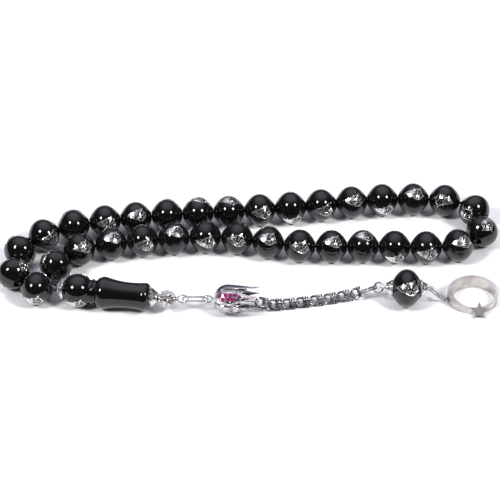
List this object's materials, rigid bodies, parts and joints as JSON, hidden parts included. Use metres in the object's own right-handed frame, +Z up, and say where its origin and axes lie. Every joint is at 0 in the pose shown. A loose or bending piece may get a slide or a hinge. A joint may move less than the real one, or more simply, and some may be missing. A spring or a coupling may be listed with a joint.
{
  "type": "misbaha prayer beads",
  "caption": "Loop of polished black stone beads with inlaid silver ornament, a turned head piece, and a silver tassel with tulip, chain, end bead and crescent ring.",
  "frame": {"origin": "under the middle of the whole object, on the surface it lies on", "axes": "+X along the bead rows towards the crescent, +Y from the tassel towards the far row of beads, +Z up"},
  "size_m": [0.1404, 0.05, 0.0105],
  "materials": {
    "black_stone": "glossy polished black stone",
    "cord": "twisted black cord",
    "bright_silver": "polished silver",
    "oxidised_silver": "oxidised silver, bright on its high places",
    "red_stone": "faceted red stone"
  },
  "bodies": {
    "string": {"stringing_cord": "cord", "upper_cap": "bright_silver", "lower_cap": "bright_silver", "eye_ring": "bright_silver"},
    "head": {"imame": "black_stone"},
    "filigree": {"filigree_ball": "bright_silver"},
    "bead_01": {"bead_01": "black_stone"},
    "bead_02": {"bead_02": "black_stone"},
    "bead_03": {"bead_03": "black_stone"},
    "bead_04": {"bead_04": "black_stone"},
    "bead_05": {"bead_05": "black_stone"},
    "bead_06": {"bead_06": "black_stone"},
    "bead_07": {"bead_07": "black_stone"},
    "bead_08": {"bead_08": "black_stone"},
    "bead_09": {"bead_09": "black_stone"},
    "bead_10": {"bead_10": "black_stone"},
    "bead_11": {"bead_11": "black_stone"},
    "bead_12": {"bead_12": "black_stone"},
    "bead_13": {"bead_13": "black_stone"},
    "bead_14": {"bead_14": "black_stone"},
    "bead_15": {"bead_15": "black_stone"},
    "bead_16": {"bead_16": "black_stone"},
    "bead_17": {"bead_17": "black_stone"},
    "bead_18": {"bead_18": "black_stone"},
    "bead_19": {"bead_19": "black_stone"},
    "bead_20": {"bead_20": "black_stone"},
    "bead_21": {"bead_21": "black_stone"},
    "bead_22": {"bead_22": "black_stone"},
    "bead_23": {"bead_23": "black_stone"},
    "bead_24": {"bead_24": "black_stone"},
    "bead_25": {"bead_25": "black_stone"},
    "bead_26": {"bead_26": "black_stone"},
    "bead_27": {"bead_27": "black_stone"},
    "bead_28": {"bead_28": "black_stone"},
    "bead_29": {"bead_29": "black_stone"},
    "bead_30": {"bead_30": "black_stone"},
    "bead_31": {"bead_31": "black_stone"},
    "bead_32": {"bead_32": "black_stone"},
    "bead_33": {"bead_33": "black_stone"},
    "connector": {"connector_link": "bright_silver"},
    "tulip": {"tulip_cup": "bright_silver", "ruby_stones": "red_stone", "tulip_eye": "bright_silver"},
    "chain_1": {"chain_link_1": "oxidised_silver"},
    "chain_2": {"chain_link_2": "oxidised_silver"},
    "chain_3": {"chain_link_3": "oxidised_silver"},
    "chain_4": {"chain_link_4": "oxidised_silver"},
    "chain_5": {"chain_link_5": "oxidised_silver"},
    "chain_6": {"chain_link_6": "oxidised_silver"},
    "chain_7": {"chain_link_7": "oxidised_silver"},
    "chain_8": {"chain_link_8": "oxidised_silver"},
    "end_ring": {"chain_end_ring": "bright_silver"},
    "end_pin": {"end_pin": "bright_silver", "end_cap_inner": "bright_silver", "end_cap_outer": "bright_silver"},
    "end_bead": {"end_bead": "black_stone"},
    "drop_upper": {"drop_link_upper": "bright_silver"},
    "drop_lower": {"drop_link_lower": "bright_silver"},
    "crescent": {"crescent_ring": "bright_silver", "star": "bright_silver"}
  },
  "joints": [
    {"name": "bead_01_slide", "type": "slide", "parent": "string", "child": "bead_01", "axis": [-0.2881, -0.9576, 0], "range_m": [0, 0.0006]},
    {"name": "bead_02_spin", "type": "hinge", "parent": "string", "child": "bead_02", "pos_m": [-0.04795, -0.00075, 0.0046], "axis": [0.9153, 0.4028, 0], "continuous": true},
    {"name": "bead_03_spin", "type": "hinge", "parent": "string", "child": "bead_03", "pos_m": [-0.03913, 0.00155, 0.0046], "axis": [0.9854, 0.17, 0], "continuous": true},
    {"name": "bead_04_spin", "type": "hinge", "parent": "string", "child": "bead_04", "pos_m": [-0.03032, 0.00283, 0.0046], "axis": [0.9926, 0.1218, 0], "continuous": true},
    {"name": "bead_05_spin", "type": "hinge", "parent": "string", "child": "bead_05", "pos_m": [-0.02152, 0.0038, 0.0046], "axis": [0.9947, 0.103, 0], "continuous": true},
    {"name": "bead_06_spin", "type": "hinge", "parent": "string", "child": "bead_06", "pos_m": [-0.0126, 0.0044, 0.0046], "axis": [0.9999, 0.014, 0], "continuous": true},
    {"name": "bead_07_spin", "type": "hinge", "parent": "string", "child": "bead_07", "pos_m": [-0.00363, 0.00385, 0.0046], "axis": [0.9895, -0.1443, 0], "continuous": true},
    {"name": "bead_08_spin", "type": "hinge", "parent": "string", "child": "bead_08", "pos_m": [0.00513, 0.00207, 0.0046], "axis": [0.9752, -0.2215, 0], "continuous": true},
    {"name": "bead_09_spin", "type": "hinge", "parent": "string", "child": "bead_09", "pos_m": [0.01399, 0.00062, 0.0046], "axis": [0.996, -0.0895, 0], "continuous": true},
    {"name": "bead_10_spin", "type": "hinge", "parent": "string", "child": "bead_10", "pos_m": [0.02294, 0.00039, 0.0046], "axis": [0.9998, 0.0181, 0], "continuous": true},
    {"name": "bead_11_spin", "type": "hinge", "parent": "string", "child": "bead_11", "pos_m": [0.03179, 0.00044, 0.0046], "axis": [0.9999, -0.0119, 0], "continuous": true},
    {"name": "bead_12_spin", "type": "hinge", "parent": "string", "child": "bead_12", "pos_m": [0.04065, 0.00018, 0.0046], "axis": [0.9991, -0.0423, 0], "continuous": true},
    {"name": "bead_13_spin", "type": "hinge", "parent": "string", "child": "bead_13", "pos_m": [0.04952, -0.00005, 0.0046], "axis": [1, 0.0032, 0], "continuous": true},
    {"name": "bead_14_spin", "type": "hinge", "parent": "string", "child": "bead_14", "pos_m": [0.05859, 0.00079, 0.0046], "axis": [0.9698, 0.2437, 0], "continuous": true},
    {"name": "bead_15_spin", "type": "hinge", "parent": "string", "child": "bead_15", "pos_m": [0.06567, 0.00666, 0.0046], "axis": [0.3481, 0.9375, 0], "continuous": true},
    {"name": "bead_16_spin", "type": "hinge", "parent": "string", "child": "bead_16", "pos_m": [0.06415, 0.01549, 0.0046], "axis": [-0.635, 0.7725, 0], "continuous": true},
    {"name": "bead_17_spin", "type": "hinge", "parent": "string", "child": "bead_17", "pos_m": [0.05588, 0.01978, 0.0046], "axis": [-0.9881, 0.1541, 0], "continuous": true},
    {"name": "bead_18_spin", "type": "hinge", "parent": "string", "child": "bead_18", "pos_m": [0.0469, 0.02037, 0.0046], "axis": [-0.9999, 0.0131, 0], "continuous": true},
    {"name": "bead_19_spin", "type": "hinge", "parent": "string", "child": "bead_19", "pos_m": [0.03797, 0.02008, 0.0046], "axis": [-0.9969, -0.0791, 0], "continuous": true},
    {"name": "bead_20_spin", "type": "hinge", "parent": "string", "child": "bead_20", "pos_m": [0.02914, 0.01904, 0.0046], "axis": [-0.9902, -0.1399, 0], "continuous": true},
    {"name": "bead_21_spin", "type": "hinge", "parent": "string", "child": "bead_21", "pos_m": [0.02038, 0.01783, 0.0046], "axis": [-0.9912, -0.1326, 0], "continuous": true},
    {"name": "bead_22_spin", "type": "hinge", "parent": "string", "child": "bead_22", "pos_m": [0.01162, 0.0167, 0.0046], "axis": [-0.9924, -0.1228, 0], "continuous": true},
    {"name": "bead_23_spin", "type": "hinge", "parent": "string", "child": "bead_23", "pos_m": [0.00281, 0.01571, 0.0046], "axis": [-0.9952, -0.0978, 0], "continuous": true},
    {"name": "bead_24_spin", "type": "hinge", "parent": "string", "child": "bead_24", "pos_m": [-0.00602, 0.01496, 0.0046], "axis": [-0.9973, -0.0741, 0], "continuous": true},
    {"name": "bead_25_spin", "type": "hinge", "parent": "string", "child": "bead_25", "pos_m": [-0.01483, 0.01431, 0.0046], "axis": [-0.9972, -0.0747, 0], "continuous": true},
    {"name": "bead_26_spin", "type": "hinge", "parent": "string", "child": "bead_26", "pos_m": [-0.02368, 0.01353, 0.0046], "axis": [-0.9939, -0.1104, 0], "continuous": true},
    {"name": "bead_27_spin", "type": "hinge", "parent": "string", "child": "bead_27", "pos_m": [-0.03247, 0.01234, 0.0046], "axis": [-0.9889, -0.1483, 0], "continuous": true},
    {"name": "bead_28_spin", "type": "hinge", "parent": "string", "child": "bead_28", "pos_m": [-0.04122, 0.01095, 0.0046], "axis": [-0.9852, -0.1715, 0], "continuous": true},
    {"name": "bead_29_spin", "type": "hinge", "parent": "string", "child": "bead_29", "pos_m": [-0.04998, 0.00897, 0.0046], "axis": [-0.955, -0.2965, 0], "continuous": true},
    {"name": "bead_30_spin", "type": "hinge", "parent": "string", "child": "bead_30", "pos_m": [-0.05824, 0.00511, 0.0046], "axis": [-0.8345, -0.551, 0], "continuous": true},
    {"name": "bead_31_spin", "type": "hinge", "parent": "string", "child": "bead_31", "pos_m": [-0.06461, -0.00156, 0.0046], "axis": [-0.4812, -0.8766, 0], "continuous": true},
    {"name": "bead_32_spin", "type": "hinge", "parent": "string", "child": "bead_32", "pos_m": [-0.06565, -0.01069, 0.0046], "axis": [0.3041, -0.9527, 0], "continuous": true},
    {"name": "bead_33_spin", "type": "hinge", "parent": "string", "child": "bead_33", "pos_m": [-0.05894, -0.01665, 0.0046], "axis": [0.9783, -0.2071, 0], "continuous": true},
    {"name": "head_spin", "type": "hinge", "parent": "string", "child": "head", "pos_m": [-0.04751, -0.01739, 0.0046], "axis": [0.9903, -0.1392, 0], "continuous": true},
    {"name": "filigree_spin", "type": "hinge", "parent": "string", "child": "filigree", "pos_m": [-0.02278, -0.02086, 0.0046], "axis": [0.9903, -0.1392, 0], "continuous": true},
    {"name": "connector_swing", "type": "hinge", "parent": "string", "child": "connector", "pos_m": [-0.01846, -0.02086, 0.0046], "axis": [0, 1, 0], "range_deg": [-50, 50]},
    {"name": "tulip_swing", "type": "hinge", "parent": "connector", "child": "tulip", "pos_m": [-0.01166, -0.02086, 0.0046], "axis": [0, -1, 0], "range_deg": [-50, 50]},
    {"name": "chain_1_bend", "type": "hinge", "parent": "tulip", "child": "chain_1", "pos_m": [0.00159, -0.02089, 0.0036], "axis": [0.1409, 0.737, 0.6611], "range_deg": [-30, 30]},
    {"name": "chain_2_bend", "type": "hinge", "parent": "chain_1", "child": "chain_2", "pos_m": [0.00512, -0.02036, 0.00207], "axis": [-0.0472, -0.7244, -0.6878], "range_deg": [-30, 30]},
    {"name": "chain_3_bend", "type": "hinge", "parent": "chain_2", "child": "chain_3", "pos_m": [0.00887, -0.01972, 0.00142], "axis": [-0.0786, 0.7042, 0.7056], "range_deg": [-30, 30]},
    {"name": "chain_4_bend", "type": "hinge", "parent": "chain_3", "child": "chain_4", "pos_m": [0.01269, -0.01903, 0.00129], "axis": [0.1184, -0.6972, -0.7071], "range_deg": [-30, 30]},
    {"name": "chain_5_bend", "type": "hinge", "parent": "chain_4", "child": "chain_5", "pos_m": [0.01651, -0.01835, 0.00125], "axis": [-0.1252, 0.6959, 0.7071], "range_deg": [-30, 30]},
    {"name": "chain_6_bend", "type": "hinge", "parent": "chain_5", "child": "chain_6", "pos_m": [0.02033, -0.01767, 0.00123], "axis": [0.1544, -0.6902, -0.707], "range_deg": [-30, 30]},
    {"name": "chain_7_bend", "type": "hinge", "parent": "chain_6", "child": "chain_7", "pos_m": [0.02412, -0.01681, 0.00128], "axis": [-0.1991, 0.6826, 0.7031], "range_deg": [-30, 30]},
    {"name": "chain_8_bend", "type": "hinge", "parent": "chain_7", "child": "chain_8", "pos_m": [0.02792, -0.01607, 0.00168], "axis": [0.2259, -0.7051, -0.6721], "range_deg": [-30, 30]},
    {"name": "end_ring_swing", "type": "hinge", "parent": "chain_8", "child": "end_ring", "pos_m": [0.03425, -0.01593, 0.00419], "axis": [0.0621, 0.7507, 0.6577], "range_deg": [-30, 30]},
    {"name": "end_pin_swing", "type": "hinge", "parent": "end_ring", "child": "end_pin", "pos_m": [0.0367, -0.01706, 0.00525], "axis": [-0.0247, -0.7067, -0.7071], "range_deg": [-30, 30]},
    {"name": "end_bead_spin", "type": "hinge", "parent": "end_pin", "child": "end_bead", "pos_m": [0.04319, -0.01729, 0.00525], "axis": [0.9994, -0.0349, 0], "continuous": true},
    {"name": "drop_upper_swing", "type": "hinge", "parent": "end_pin", "child": "drop_upper", "pos_m": [0.04969, -0.01752, 0.00525], "axis": [0.0349, 0.9994, 0], "range_deg": [-40, 40]},
    {"name": "drop_lower_swing", "type": "hinge", "parent": "drop_upper", "child": "drop_lower", "pos_m": [0.05219, -0.01749, 0.0025], "axis": [-0.1104, -0.9939, 0], "range_deg": [-40, 40]},
    {"name": "crescent_swing", "type": "hinge", "parent": "drop_lower", "child": "crescent", "pos_m": [0.05444, -0.01774, 0.00088], "axis": [0, 0, 1], "range_deg": [-30, 30]}
  ]
}
